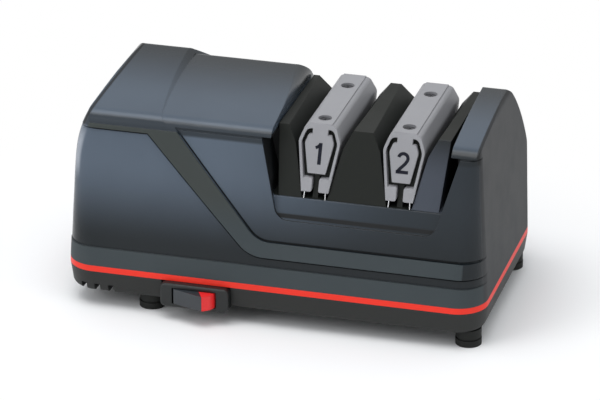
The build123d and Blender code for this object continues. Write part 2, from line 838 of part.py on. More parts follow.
def knife_guide(index):
    """One springy guide: an inverted U along the stage, with a number plate in its mouth."""
    stage = stage_x[index]
    shell = guide_section(0)
    hollow = guide_section(guide_wall)
    strip = Pos(0, guide_top - guide_plate_rise / 2) * Rectangle(2 * guide_plate_half, guide_plate_rise)
    body = prism_y(shell, stage) + prism_y(strip, stage) - prism_y(hollow, stage)
    for side in (-1, 1):
        reach = guide_half_low - foot_pad_gap / 2
        centre = side * (guide_half_low + foot_pad_gap / 2) / 2
        pad = Pos(centre, guide_foot + foot_pad_height / 2) * RectangleRounded(reach, foot_pad_height, 0.9)
        body = body + prism_y(pad, stage)
    body = body & end_wedges(guide_proud, guide_proud)
    plate = prism_y(number_plate_face(), stage) & end_sheet(-1, 0, plate_thickness)
    body = body + plate
    body = body - disc_slot(stage)
    side_room = block(stage - 20, stage + 20, shaft_y - slot_half_y(), shaft_y + slot_half_y(), 0, slot_top())
    body = body - side_room
    for side in (-1, 1):
        body = body - leaf_plate(stage, side, leaf_setback)
        y = shaft_y + side * guide_screw_reach
        at = (stage, y)
        body = body - rod("Z", guide_screw_head / 2 + 0.4, guide_top - guide_screw_sink, guide_top + 5, at)
        body = body - rod("Z", guide_screw_radius + 0.2, guide_underside - 5, guide_top + 5, at)
    return body


def slot_half_y():
    """Half the length of a disc slot."""
    return sqrt(disc_radius**2 - (channel_floor - shaft_z) ** 2) + disc_slot_gap


def slot_top():
    """Height that the disc slots reach."""
    return shaft_z + disc_radius + 1.5


def blade_strip(stage, side):
    """A thin steel strip let into one foot of a guide, in front of the discs."""
    return leaf_plate(stage, side, leaf_setback)


def guide_screw(stage, side):
    """A pan head screw that holds a guide to one of its posts."""
    seat = guide_top - guide_screw_sink
    at = (stage, shaft_y + side * guide_screw_reach)
    screw = rod("Z", guide_screw_head / 2, seat, seat + 0.8, at)
    screw = screw + rod("Z", guide_screw_radius, guide_underside - 10, seat, at)
    cross = block(at[0] - 1.6, at[0] + 1.6, at[1] - 0.35, at[1] + 0.35, seat + 0.2, seat + 1)
    return screw - cross - Pos(at[0], at[1], 0) * Rot(0, 0, 90) * Pos(-at[0], -at[1], 0) * cross


def turned(points, at_x=0.0, side=1):
    """A body turned about the shaft axis from (x, radius) points; side -1 mirrors it end for end."""
    outline = [(at_x + side * x, r) for x, r in points]
    face = make_face(Polyline(*outline, close=True))
    solid = revolve(Plane.XZ * face, axis=Axis.X)
    return Pos(0, shaft_y, shaft_z) * solid


def abrasive_disc(stage, side):
    """A cone disc: the rim inboard, the hub outboard with a cross slot for the drive pin."""
    bore = shaft_radius + running_gap
    face, web = disc_face, disc_thickness
    outer = face + disc_cone
    points = [
        (face, disc_radius),
        (outer, disc_hub_radius),
        (outer, bore),
        (outer - disc_hub_length - web, bore),
        (outer - disc_hub_length - web, disc_hub_radius - 1.0),
        (outer - web, disc_hub_radius - 1.0),
        (outer - web, disc_hub_radius),
        (face - web, disc_radius),
    ]
    disc = turned(points, stage, side)
    slot_x = stage + side * outer
    return disc - rod("Y", drive_pin_radius + 0.15, shaft_y - 9, shaft_y + 9, (slot_x, shaft_z))


def disc_spring(stage):
    """The coil spring between the two hubs of a stage."""
    hub_face = disc_face + disc_cone - disc_thickness - disc_hub_length
    reach = hub_face - disc_travel - spring_clear - spring_wire / 2
    pitch = 2 * reach / spring_turns
    path = Helix(pitch=pitch, height=2 * reach, radius=spring_radius - spring_wire / 2)
    wire = Plane(origin=path @ 0, z_dir=path % 0) * Circle(spring_wire / 2)
    coil = sweep(wire, path=path)
    return Pos(stage - reach, shaft_y, shaft_z) * Rot(0, 90, 0) * coil


def drive_pin(stage, side):
    """The cross pin in the shaft that turns one disc by its hub slot."""
    half = drive_pin_length / 2
    x = stage + side * (disc_face + disc_cone)
    return rod("Y", drive_pin_radius, shaft_y - half, shaft_y + half, (x, shaft_z))


def motor_shaft():
    """The one shaft of the machine, with cross holes for the drive pins."""
    bar = rod("X", shaft_radius, shaft_left, shaft_right, (shaft_y, shaft_z))
    for stage in stage_x:
        for side in (-1, 1):
            bar = bar - drive_pin(stage, side)
    return bar


def on_shaft(radius, x0, x1, bore):
    """A plain ring on the shaft axis."""
    at = (shaft_y, shaft_z)
    return rod("X", radius, x0, x1, at) - rod("X", bore, x0 - 1, x1 + 1, at)


def stator_core():
    """The laminated frame of the motor, without its coil leg."""
    x0, x1 = stack_x - stack_thickness / 2, stack_x + stack_thickness / 2
    h = stack_half_height
    core = block(x0, x1, shaft_y + stack_front, shaft_y + stack_back, shaft_z - h, shaft_z + h)
    core = core - rod("X", rotor_radius + air_gap, x0 - 1, x1 + 1, (shaft_y, shaft_z))
    window = stack_back - stack_limb - coil_build - 2.5
    y0, y1 = shaft_y + window, shaft_y + stack_back + 1
    core = core - block(x0 - 1, x1 + 1, y0, y1, shaft_z - leg_half, shaft_z + leg_half)
    for side in (-1, 1):
        core = core - rod("X", tie_bolt_radius + 0.2, x0 - 1, x1 + 1, (shaft_y, shaft_z + side * tie_bolt_z))
        step_z = shaft_z + side * h
        y0 = shaft_y + stack_front
        core = core - block(x0 - 1, x1 + 1, y0 - 1, y0 + 5, step_z - 5, step_z + 5)
    return core


leg_half = stack_half_height - 9.0


def core_leg():
    """The leg of the magnetic circuit that carries the coil."""
    x0, x1 = stack_x - stack_thickness / 2, stack_x + stack_thickness / 2
    y0 = shaft_y + stack_back - stack_limb
    return block(x0, x1, y0, shaft_y + stack_back, shaft_z - leg_half, shaft_z + leg_half)


def around_leg(grow, half_z):
    """A box round the coil leg, grown sideways."""
    x0, x1 = stack_x - stack_thickness / 2 - grow, stack_x + stack_thickness / 2 + grow
    y0 = shaft_y + stack_back - stack_limb - grow
    return block(x0, x1, y0, shaft_y + stack_back + grow, shaft_z - half_z, shaft_z + half_z)


def coil_bobbin():
    """The moulded bobbin on the coil leg."""
    half = leg_half - 0.3
    inner = around_leg(bobbin_clear, half + 1)
    tube = around_leg(bobbin_clear + 1.2, half)
    flange = around_leg(coil_build + 1.2, half) - around_leg(coil_build + 3, half - bobbin_flange)
    return tube + flange - inner


def coil_winding():
    """The wound copper, wrapped in tape."""
    half = leg_half - 0.3 - bobbin_flange
    outer = around_leg(coil_build + 0.4, half)
    upright = [e for e in outer.edges() if abs((e @ 1 - e @ 0).Z) > half]
    outer = fillet(upright, 4.0)
    return outer - around_leg(bobbin_clear + 1.2, half + 1)


def rotor_core():
    """The squirrel-cage rotor with its end rings."""
    x0, x1 = stack_x - stack_thickness / 2, stack_x + stack_thickness / 2
    cage = on_shaft(rotor_radius, x0, x1, shaft_radius)
    rings = on_shaft(rotor_radius - 1.5, x0 - 3, x1 + 3, rotor_radius - 5)
    return cage + rings


def motor_bracket(side):
    """A bearing bracket that stands on its pedestal and is bolted to the stack."""
    face = bracket_x(side)
    x0, x1 = sorted((face, face + side * bracket_thickness))
    half = bracket_width / 2
    top = stack_half_height + 1.0
    plate = block(x0, x1, shaft_y - half, shaft_y + half, shaft_z - top, shaft_z + top)
    stack_face = stack_x + side * stack_thickness / 2
    b0, b1 = sorted((face + side * bracket_thickness, face + side * (bracket_thickness - bearing_length)))
    plate = plate + rod("X", bearing_radius + 1.6, b0, b1, (shaft_y, shaft_z))
    p0, p1 = sorted((stack_face, face))
    for way in (-1, 1):
        at = (shaft_y, shaft_z + way * tie_bolt_z)
        plate = plate + rod("X", 3.8, p0, p1, at)
    for way in (-1, 1):
        at = (shaft_y, shaft_z + way * tie_bolt_z)
        plate = plate - rod("X", tie_bolt_radius + 0.2, p0 - 20, p1 + 20, at)
    return plate - rod("X", bearing_radius, b0 - 1, b1 + 1, (shaft_y, shaft_z))


def bracket_bearing(side):
    """The sintered bush in a motor bracket."""
    face = bracket_x(side)
    b0, b1 = sorted((face + side * bracket_thickness, face + side * (bracket_thickness - bearing_length)))
    return on_shaft(bearing_radius, b0, b1, shaft_radius + running_gap)


def motor_tie_bolt(way):
    """A long bolt through both brackets and the stack, with its nut."""
    x0 = bracket_x(-1) - bracket_thickness
    x1 = bracket_x(1) + bracket_thickness
    at = (shaft_y, shaft_z + way * tie_bolt_z)
    bolt = rod("X", tie_bolt_radius, x0, x1 + 4, at) + rod("X", 3.0, x0 - 2.2, x0, at)
    nut = Pos(x1 + 1.2, *at) * Rot(0, 90, 0) * extrude(RegularPolygon(3.4, 6), 1.2, both=True)
    return bolt + nut


def cooling_fan():
    """The fan at the left end of the shaft."""
    x0, x1 = fan_x - fan_width / 2, fan_x + fan_width / 2
    fan = on_shaft(fan_hub_radius, x0, x1, shaft_radius) + on_shaft(fan_radius, x1 - 1.2, x1, shaft_radius)
    for i in range(fan_blades):
        blade = Pos(fan_x, fan_hub_radius + (fan_radius - fan_hub_radius) / 2 - 0.5, 0)
        blade = blade * Rot(0, 0, 20) * Box(fan_width - 1.5, fan_radius - fan_hub_radius - 1.0, 1.3)
        fan = fan + Pos(0, shaft_y, shaft_z) * Rot(360 / fan_blades * i, 0, 0) * blade
    return fan & on_shaft(fan_radius, x0, x1, shaft_radius)


def outboard_bracket():
    """The post on the base that holds the bearing at the right end."""
    half, foot = 3.0, outboard_foot_half
    x0, x1 = outboard_x - half, outboard_x + half
    top = shaft_z + 2.0
    post = block(x0, x1, shaft_y - 11, shaft_y + 11, base_floor, top) + block(
        x0 - 4, x1 + 2, shaft_y - foot, shaft_y + foot, base_floor, base_floor + 3
    )
    post = post + rod("X", bearing_radius + 2.2, outboard_x - bearing_length / 2, x1, (shaft_y, shaft_z))
    return post - rod("X", bearing_radius, x0 - 5, x1 + 5, (shaft_y, shaft_z))


def outboard_bearing():
    """The bush in the outboard bracket."""
    x0 = outboard_x - bearing_length / 2
    return on_shaft(bearing_radius, x0, x0 + bearing_length, shaft_radius + running_gap)


def thrust_washer(side):
    """A washer on the shaft that takes up its end play at one of the motor's bearings."""
    near = bracket_x(side) + side * (bracket_thickness - bearing_length) - side * end_play
    x0, x1 = sorted((near, near - side * washer_thickness))
    return on_shaft(washer_radius, x0, x1, shaft_radius)


def dust_baffle():
    """The plate that keeps metal dust out of the motor."""
    x = baffle_x
    plate = block(x, x + 1.6, -half_depth + 12, half_depth - 20, base_floor, channel_floor + 8)
    return plate - rod("X", shaft_radius + 1.2, x - 1, x + 3, (shaft_y, shaft_z))


baffle_x = -15.0


def switch_bezel():
    """The surround of the power switch, let into the front of the base."""
    face = RectangleRounded(bezel_width, bezel_height, 2.6)
    body = Pos(switch_x, bezel_back, switch_z) * extrude(Plane.XZ * face, bezel_back - bezel_face)
    rim = [e for e in body.edges() if e.bounding_box().max.Y < bezel_face + 0.01]
    body = fillet(rim, 1.2)
    half_z = rocker_height / 2 + rocker_gap
    body = body - block(
        switch_x - rocker_slot_half,
        switch_x + rocker_slot_half,
        bezel_face - 5,
        bezel_back + 5,
        switch_z - half_z,
        switch_z + half_z,
    )
    return body - rod("Z", pin_radius, switch_z - 5.4, switch_z + 5.4, (switch_x, rocker_pivot_y))


def rocker_plan(points):
    """A prism of the rocker's plan: the points are measured from the middle of the bezel's face."""
    face = make_face(Polyline(*points, close=True))
    disc = Pos(0, rocker_pivot_in) * Circle(rocker_radius)
    plan = Pos(switch_x, bezel_face, switch_z - rocker_height / 2) * extrude(face & disc, rocker_height)
    return plan - rod("Z", pin_radius + running_gap, 0, stripe_low, (switch_x, rocker_pivot_y))


rocker_split_x = 2.3
rocker_split_y = 0.6


def switch_rocker():
    """The black part of the rocker, shown with its left end pressed."""
    ridge = (rocker_ridge_x, -rocker_ridge_out)
    split = (rocker_split_x, rocker_split_y)
    back = 8.5
    return rocker_plan([(-12, 0.1), ridge, split, (split[0], back), (-12, back)])


def rocker_red_insert():
    """The red flank that shows while the right end stands out."""
    ridge = (rocker_ridge_x, -rocker_ridge_out)
    split = (rocker_split_x, rocker_split_y)
    back = 8.5
    return rocker_plan([ridge, (12, -0.6), (12, back), (split[0], back), split])


def rocker_pin():
    """The upright pin on which the rocker turns."""
    return rod("Z", pin_radius, switch_z - 5.4, switch_z + 5.4, (switch_x, rocker_pivot_y))


def switch_body():
    """The switch behind the bezel, open to the rocker, with two blade terminals."""
    y0 = bezel_back
    y1 = y0 + switch_body_depth
    half = switch_body_half
    body = block(switch_x - half, switch_x + half, y0, y1, foot_height + 0.1, switch_z + 5.6)
    cavity = rocker_pivot_y + rocker_slot_half
    half_z = rocker_height / 2 + rocker_gap
    x0, x1 = switch_x - rocker_slot_half, switch_x + rocker_slot_half
    body = body - block(x0, x1, y0 - 1, cavity, switch_z - half_z, switch_z + half_z)
    for side in (-1, 1):
        x = switch_x + side * 6
        body = body + block(x - 2.4, x + 2.4, y1, y1 + 7, switch_z - 0.4, switch_z + 0.4)
    return body


def rubber_foot(place):
    """A rubber foot with a rim, a groove and a stem pressed into the base."""
    x, y = place
    at = (x, y)
    foot = rod("Z", foot_radius, 0, foot_rim, at)
    foot = foot + rod("Z", foot_radius - foot_groove, foot_rim, foot_rim + 0.8, at)
    foot = foot + rod("Z", foot_radius - 0.15, foot_rim + 0.8, foot_height, at)
    return foot + rod("Z", foot_stem_radius, foot_height, base_floor + 2.0, at)


def clean_out_cover():
    """The cover under the discs, with a lip that locates it in the base."""
    y0, y1 = shaft_y - cover_width / 2, shaft_y + cover_width / 2
    x0, x1 = cover_x - cover_length / 2, cover_x + cover_length / 2
    plate = block(x0, x1, y0, y1, foot_height + 1.2 - cover_thickness, foot_height + 1.2)
    m = 4.0 + cover_gap
    lip = block(x0 + m, x1 - m, y0 + m, y1 - m, foot_height + 1.2, base_floor)
    m = m + 1.5
    lip = lip - block(x0 + m, x1 - m, y0 + m, y1 - m, foot_height + 1.2, base_floor + 1)
    return plate + lip


def swarf_magnet():
    """The magnet on the cover that holds the filings."""
    w, d, h = magnet_size
    z = foot_height + 1.2
    return block(cover_x - w / 2, cover_x + w / 2, shaft_y - d / 2, shaft_y + d / 2, z, z + h)


def cord_bushing():
    """The stub gland in the back wall where the mains lead enters."""
    at = (cord_x, cord_z)
    y_in = half_depth - wall - 1.5
    y_wall = half_depth
    bush = rod("Y", cord_bush_radius, y_in, y_wall + 2, at)
    bush = bush + rod("Y", cord_flange_radius, y_wall, cord_reach, at)
    return bush - rod("Y", cord_bore_radius, y_in - 1, cord_reach + 1, at)


def housing_screw(at):
    """One of the screws that pull the base up to the upper housing."""
    screw = rod("Z", screw_head_radius, foot_height + 0.2, foot_height + 2.0, at)
    screw = screw + rod("Z", screw_radius, foot_height + 2.0, stripe_low + screw_reach, at)
    x, y = at
    cross = block(x - 1.8, x + 1.8, y - 0.4, y + 0.4, foot_height, foot_height + 1.2)
    return screw - cross


builders = {
    "upper_housing": upper_housing,
    "lower_housing": lower_housing,
    "pinstripe_band": pinstripe_band,
    "guide_block": guide_block,
    "motor_shaft": motor_shaft,
    "rotor_core": rotor_core,
    "cooling_fan": cooling_fan,
    "stator_core": stator_core,
    "core_leg": core_leg,
    "coil_bobbin": coil_bobbin,
    "coil_winding": coil_winding,
    "outboard_bracket": outboard_bracket,
    "outboard_bearing": outboard_bearing,
    "dust_baffle": dust_baffle,
    "switch_bezel": switch_bezel,
    "switch_rocker": switch_rocker,
    "rocker_red_insert": rocker_red_insert,
    "rocker_pin": rocker_pin,
    "switch_body": switch_body,
    "clean_out_cover": clean_out_cover,
    "swarf_magnet": swarf_magnet,
    "cord_bushing": cord_bushing,
}
sides = (("left", -1), ("right", 1))
ends = (("front", -1), ("back", 1))
for number, stage in enumerate(stage_x, start=1):
    builders[f"knife_guide_{number}"] = lambda i=number - 1: knife_guide(i)
    builders[f"disc_spring_{number}"] = lambda x=stage: disc_spring(x)
    for word, side in sides:
        builders[f"abrasive_disc_{number}_{word}"] = lambda x=stage, s=side: abrasive_disc(x, s)
        builders[f"drive_pin_{number}_{word}"] = lambda x=stage, s=side: drive_pin(x, s)
        builders[f"blade_strip_{number}_{word}"] = lambda x=stage, s=side: blade_strip(x, s)
    for word, side in ends:
        builders[f"guide_screw_{number}_{word}"] = lambda x=stage, s=side: guide_screw(x, s)
for word, side in sides:
    builders[f"motor_bracket_{word}"] = lambda s=side: motor_bracket(s)
    builders[f"bearing_{word}"] = lambda s=side: bracket_bearing(s)
    builders[f"thrust_washer_{word}"] = lambda s=side: thrust_washer(s)
for word, way in (("lower", -1), ("upper", 1)):
    builders[f"motor_tie_bolt_{word}"] = lambda w=way: motor_tie_bolt(w)
for number, place in enumerate(foot_places, start=1):
    builders[f"rubber_foot_{number}"] = lambda p=place: rubber_foot(p)
for number, place in enumerate(boss_places, start=1):
    builders[f"housing_screw_{number}"] = lambda p=place: housing_screw(p)

if __name__ == "__main__":
    for name, make in builders.items():
        export_step(make(), f"parts/{name}.step")
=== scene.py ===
"""Electric knife sharpener: materials, printed numerals, floor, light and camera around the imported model."""
import json
import math

import bmesh
import bpy
from mathutils import Matrix, Vector


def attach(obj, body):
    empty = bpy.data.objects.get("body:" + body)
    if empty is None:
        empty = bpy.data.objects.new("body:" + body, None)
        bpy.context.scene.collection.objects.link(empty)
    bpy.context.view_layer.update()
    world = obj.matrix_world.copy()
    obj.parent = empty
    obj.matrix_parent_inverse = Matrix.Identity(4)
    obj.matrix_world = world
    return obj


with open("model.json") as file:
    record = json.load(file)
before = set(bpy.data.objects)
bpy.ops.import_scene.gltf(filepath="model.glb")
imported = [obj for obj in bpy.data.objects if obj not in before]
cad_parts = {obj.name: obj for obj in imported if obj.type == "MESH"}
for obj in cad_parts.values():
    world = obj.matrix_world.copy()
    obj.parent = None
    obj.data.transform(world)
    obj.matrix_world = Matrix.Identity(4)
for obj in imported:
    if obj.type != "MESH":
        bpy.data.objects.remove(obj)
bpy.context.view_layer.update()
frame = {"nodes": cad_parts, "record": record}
nodes = frame["nodes"]
MM = 0.001


# ------------------------------------------------------------------ node helpers
class Graph:
    """A small helper round one material's node tree."""

    def __init__(self, name):
        self.mat = bpy.data.materials.new(name)
        self.mat.use_nodes = True
        self.tree = self.mat.node_tree
        self.tree.nodes.clear()
        self.out = self.node("ShaderNodeOutputMaterial")
        self.bsdf = self.node("ShaderNodeBsdfPrincipled")
        self.link(self.bsdf.outputs["BSDF"], self.out.inputs["Surface"])
        self.coord = self.node("ShaderNodeTexCoord").outputs["Object"]

    def node(self, kind, **values):
        n = self.tree.nodes.new(kind)
        for key, value in values.items():
            setattr(n, key, value)
        return n

    def link(self, a, b):
        self.tree.links.new(a, b)

    def put(self, socket, value):
        """Links another node's output to the socket, or sets the socket's own value."""
        if hasattr(value, "is_output"):
            self.link(value, socket)
        else:
            socket.default_value = value

    def set(self, **values):
        """Sets inputs of the surface shader; an underscore stands for a space in an input's name."""
        for key, value in values.items():
            self.put(self.bsdf.inputs[key.replace("_", " ")], value)

    def math(self, op, a, b=0.0, c=0.0):
        n = self.node("ShaderNodeMath", operation=op)
        for i, v in enumerate((a, b, c)):
            self.put(n.inputs[i], v)
        return n.outputs[0]

    def noise(self, scale, detail=3.0, rough=0.5, stretch=None):
        n = self.node("ShaderNodeTexNoise")
        n.inputs["Scale"].default_value = scale
        n.inputs["Detail"].default_value = detail
        n.inputs["Roughness"].default_value = rough
        where = self.coord
        if stretch is not None:
            m = self.node("ShaderNodeMapping")
            m.inputs["Scale"].default_value = stretch
            self.link(self.coord, m.inputs["Vector"])
            where = m.outputs["Vector"]
        self.link(where, n.inputs["Vector"])
        return n.outputs["Fac"]

    def waves(self, direction, scale, distortion=0.0):
        """Even bands across one axis."""
        n = self.node("ShaderNodeTexWave", wave_type="BANDS", bands_direction=direction)
        n.inputs["Scale"].default_value = scale
        n.inputs["Distortion"].default_value = distortion
        self.link(self.coord, n.inputs["Vector"])
        return n.outputs["Fac"]

    def ramp(self, fac, low, high, a=0.0, b=1.0):
        """Maps fac from low..high to a..b, smoothly."""
        n = self.node("ShaderNodeMapRange", interpolation_type="SMOOTHSTEP", clamp=True)
        for i, v in enumerate((fac, low, high, a, b)):
            self.put(n.inputs[i], v)
        return n.outputs[0]

    def mix(self, fac, a, b):
        """A colour that goes from a to b with fac; 6, 7 and 2 are the node's colour sockets."""
        n = self.node("ShaderNodeMix", data_type="RGBA")
        self.put(n.inputs["Factor"], fac)
        self.put(n.inputs[6], a)
        self.put(n.inputs[7], b)
        return n.outputs[2]

    def mix_value(self, fac, a, b):
        """A number that goes from a to b with fac."""
        rest = self.math("MULTIPLY", a, self.math("SUBTRACT", 1.0, fac))
        return self.math("ADD", rest, self.math("MULTIPLY", b, fac))

    def both(self, first, *others):
        """The product of masks."""
        for other in others:
            first = self.math("MULTIPLY", first, other)
        return first

    def either(self, first, *others):
        """The largest of masks."""
        for other in others:
            first = self.math("MAXIMUM", first, other)
        return first

    def outside(self, mask):
        """1 where the mask is 0."""
        return self.math("SUBTRACT", 1.0, mask)

    def within(self, value, low, high, soft=0.0001):
        """1 where the value lies between low and high."""
        up = self.ramp(value, low - soft, low + soft)
        return self.both(up, self.ramp(value, high - soft, high + soft, 1.0, 0.0))

    def xyz(self):
        n = self.node("ShaderNodeSeparateXYZ")
        self.link(self.coord, n.inputs[0])
        return n.outputs[0], n.outputs[1], n.outputs[2]

    def bump(self, height, distance, strength, edge=0.0):
        """A bump over softly rounded edges."""
        n = self.node("ShaderNodeBump")
        n.inputs["Strength"].default_value = strength
        n.inputs["Distance"].default_value = distance
        self.link(height, n.inputs["Height"])
        if edge > 0:
            b = self.node("ShaderNodeBevel", samples=4)
            b.inputs["Radius"].default_value = edge
            self.link(b.outputs[0], n.inputs["Normal"])
        self.link(n.outputs[0], self.bsdf.inputs["Normal"])


def col(r, g, b):
    return (r, g, b, 1.0)


# ------------------------------------------------------------------ materials
def moulded(name, colour, rough, grain, depth, strength, edge, mottle, specular):
    """A moulded plastic with a fine spark-eroded grain and slightly worn, uneven sheen."""
    g = Graph(name)
    big = g.noise(28.0, 4.0, 0.55)
    fine = g.noise(grain, 2.0, 0.6)
    dark = tuple(c * (1 - mottle) for c in colour)
    light = tuple(min(1.0, c * (1 + mottle)) for c in colour)
    g.set(Base_Color=g.mix(g.ramp(big, 0.3, 0.7), col(*dark), col(*light)))
    g.set(Roughness=g.ramp(big, 0.25, 0.75, rough - 0.05, rough + 0.05), Specular_IOR_Level=specular)
    g.bump(fine, depth, strength, edge)
    return g.mat


def metal(name, colour, rough, stretch=(40.0, 900.0, 900.0)):
    """A brushed or turned metal."""
    g = Graph(name)
    lines = g.noise(1.0, 3.0, 0.6, stretch=stretch)
    dark = tuple(c * 0.82 for c in colour)
    g.set(Base_Color=g.mix(lines, col(*dark), col(*colour)), Metallic=1.0)
    g.set(Roughness=g.ramp(lines, 0.2, 0.8, rough - 0.06, rough + 0.1))
    g.bump(lines, 0.00002, 0.3, 0.0003)
    return g.mat


# The housing's outline as the part's source has it, in metres and in metres per metre of height.
HALF_LENGTH = 0.105
FRONT_START = 0.0198  # height at which the front and the ends start to lean
FRONT_Y = -0.0574  # the front face there
FRONT_LEAN = 0.0524
FRONT_LEAN_GROWTH = 0.4365
LEFT_LEAN = 0.0699
LEFT_CURL_RISE = 0.0550  # above this the left end curls over
LEFT_CURL_RADIUS = 0.062
RIGHT_LEAN = 0.0524

# Ranges that the housing's masks follow, in metres; a depth is measured behind the front face.
PANEL_STEP = (0.0004, 0.0007)
SKIRT_TOP = (0.0322, 0.0324)
CREST_START = (0.0990, 0.1015)
GROOVE_DEPTH = (0.00135, 0.0026)
GROOVE_X = (-0.0910, 0.0930)
GROOVE_Z = (0.0310, 0.0936)
LIP_DEPTH = (0.0018, 0.0019)
LIP_Z = (0.0560, 0.0580)
CHANNEL_DEPTH = (0.0024, 0.1000)
CHANNEL_X = (-0.0095, 0.0960)
CHANNEL_Y = (-0.0600, 0.0404)
CHANNEL_Z = (0.0688, 0.0985)
# Where the painted shade line runs along the crease at the crests' ends.
CREASE_SHADE_FROM_LEFT = (0.0006, 0.0022)
CREASE_SHADE_FROM_RIGHT = (0.0004, 0.0016)
CREASE_SHADE_START = (0.0925, 0.0945)
RIGHT_END = (0.1036, 0.1046)
# Where painted shade darkens the noses.
NOSE_Z = (0.0938, 0.0998)
NOSE_Y = (-0.0480, -0.0455)
# Where the painted highlight lies on the left front corner.
CORNER_FROM_LEFT = (0.0010, 0.0042)
CORNER_Y = (-0.0460, -0.0420)
CORNER_Z = (0.0700, 0.0900)

# The housing's colours; a pair is mottled between its two. The slate comes as a lit and a shaded copy, mixed as
# painted shade.
SLATE = (col(0.078, 0.102, 0.136), col(0.086, 0.112, 0.148))
SHADED_SLATE = (col(0.006, 0.010, 0.013), col(0.008, 0.012, 0.015))
LOW_BAND = (col(0.036, 0.047, 0.052), col(0.040, 0.051, 0.056))
HIGH_BAND = (col(0.034, 0.041, 0.039), col(0.039, 0.046, 0.044))
END_FACE = (col(0.024, 0.026, 0.029), col(0.028, 0.030, 0.033))
# A painted highlight for the left front corner.
PAINTED_CORNER_HIGHLIGHT = col(0.36, 0.39, 0.44)
# Painted shade for the grooves, the channel's walls and the crests' creases.
PAINTED_SHADE_BLACK = col(0.004, 0.005, 0.006)


def housing_material():
    """Polished dark slate panels; the raised bands, nose and skirt are finely grained, the channel is matt. The
    colour carries painted shade in the grooves, on the channel's walls, along the crests' creases, towards the
    foot, the right, the crests' back and the noses, and a painted highlight on the left front corner.
    """
    g = Graph("housing_gloss")
    x, y, z = g.xyz()
    rise = g.math("SUBTRACT", z, FRONT_START)
    lean = g.math("MULTIPLY_ADD", rise, FRONT_LEAN_GROWTH, FRONT_LEAN)
    depth = g.math("SUBTRACT", y, g.math("MULTIPLY_ADD", rise, lean, FRONT_Y))

    # Polished: the sunk panels above the skirt, and the crests.
    crest = g.ramp(z, *CREST_START)
    gloss = g.either(g.both(g.ramp(depth, *PANEL_STEP), g.ramp(z, *SKIRT_TOP)), crest)

    # Painted shade, black: in the groove round the panels apart from the lip across it, and on the channel's walls.
    lip = g.both(g.within(z, *LIP_Z), g.ramp(depth, *LIP_DEPTH))
    groove = g.both(g.within(depth, *GROOVE_DEPTH), g.within(z, *GROOVE_Z))
    groove = g.both(groove, g.outside(lip), g.within(x, *GROOVE_X, 0.001))
    inside = g.both(g.within(depth, *CHANNEL_DEPTH), g.within(z, *CHANNEL_Z, 0.0004))
    inside = g.both(inside, g.within(x, *CHANNEL_X), g.within(y, *CHANNEL_Y))

    # Painted shade, nearly black: a line along the crease at both ends of the crests.
    curl_rise = g.math("MAXIMUM", g.math("SUBTRACT", rise, LEFT_CURL_RISE), 0.0)
    minus_rise = g.math("MULTIPLY", curl_rise, -1.0)
    chord = g.math("SQRT", g.math("MULTIPLY_ADD", curl_rise, minus_rise, LEFT_CURL_RADIUS * LEFT_CURL_RADIUS))
    left_side = g.math("MULTIPLY_ADD", rise, LEFT_LEAN, g.math("SUBTRACT", LEFT_CURL_RADIUS, chord))
    from_left = g.math("SUBTRACT", g.math("ADD", x, HALF_LENGTH), left_side)
    from_right = g.math("SUBTRACT", g.math("MULTIPLY_ADD", rise, -RIGHT_LEAN, HALF_LENGTH), x)
    crease_shade = g.either(g.within(from_left, *CREASE_SHADE_FROM_LEFT, 0.0003), g.within(from_right, *CREASE_SHADE_FROM_RIGHT, 0.0003))
    crease_shade = g.both(crease_shade, g.ramp(z, *CREASE_SHADE_START))
    painted_shade = g.either(groove, inside, g.both(crease_shade, 0.85))

    # Painted shade on the slate: darker towards the foot, the right, the crests' back and the noses.
    light = g.both(g.ramp(z, 0.036, 0.078), g.ramp(x, -0.035, 0.080, 1.0, 0.12))
    crown = g.ramp(y, -0.035, 0.020, 0.78, 0.0)
    crown = g.mix_value(g.ramp(y, 0.012, 0.042), crown, light)
    nose = g.both(g.within(z, *NOSE_Z, 0.0008), g.ramp(y, *NOSE_Y, 1.0, 0.0))
    light = g.both(g.mix_value(crest, light, crown), g.math("MULTIPLY_ADD", nose, -0.8, 1.0))
    # Painted highlight: a pale streak down the rounded left front corner.
    corner = g.both(g.within(from_left, *CORNER_FROM_LEFT, 0.0010), g.within(z, *CORNER_Z, 0.0060))
    corner = g.both(corner, g.ramp(y, *CORNER_Y, 0.7, 0.0))

    mottle = g.ramp(g.noise(22.0, 4.0, 0.5), 0.3, 0.7)
    panel = g.mix(light, g.mix(mottle, *SHADED_SLATE), g.mix(mottle, *SLATE))
    panel = g.mix(corner, panel, PAINTED_CORNER_HIGHLIGHT)
    band = g.mix(g.ramp(z, 0.0460, 0.0700), g.mix(mottle, *LOW_BAND), g.mix(mottle, *HIGH_BAND))
    right_end = g.ramp(g.math("MULTIPLY_ADD", rise, RIGHT_LEAN, x), *RIGHT_END)
    outer = g.mix(right_end, g.mix(gloss, band, panel), g.mix(mottle, *END_FACE))
    g.set(Base_Color=g.mix(painted_shade, outer, PAINTED_SHADE_BLACK))

    wear = g.ramp(g.noise(60.0, 5.0, 0.6), 0.35, 0.75, 0.0, 0.05)
    polished = g.both(gloss, g.outside(g.either(right_end, painted_shade)))
    g.set(Roughness=g.math("ADD", g.ramp(polished, 0.0, 1.0, 0.58, 0.22), wear), Specular_IOR_Level=0.3)
    grain = g.both(g.noise(2400.0, 2.0, 0.6), g.outside(gloss))
    peel = g.both(g.noise(420.0, 1.0, 0.4), 0.12)
    g.bump(g.math("ADD", grain, peel), 0.00005, 0.3, 0.0006)
    return g.mat


CHANNEL_FLOOR = 0.0683
RIGHT_RIB_LEAN = 0.2295
RIGHT_RIB_EDGE = (0.0672, 0.0682)
RIGHT_RIB_FRONT = (-0.0440, -0.0340)


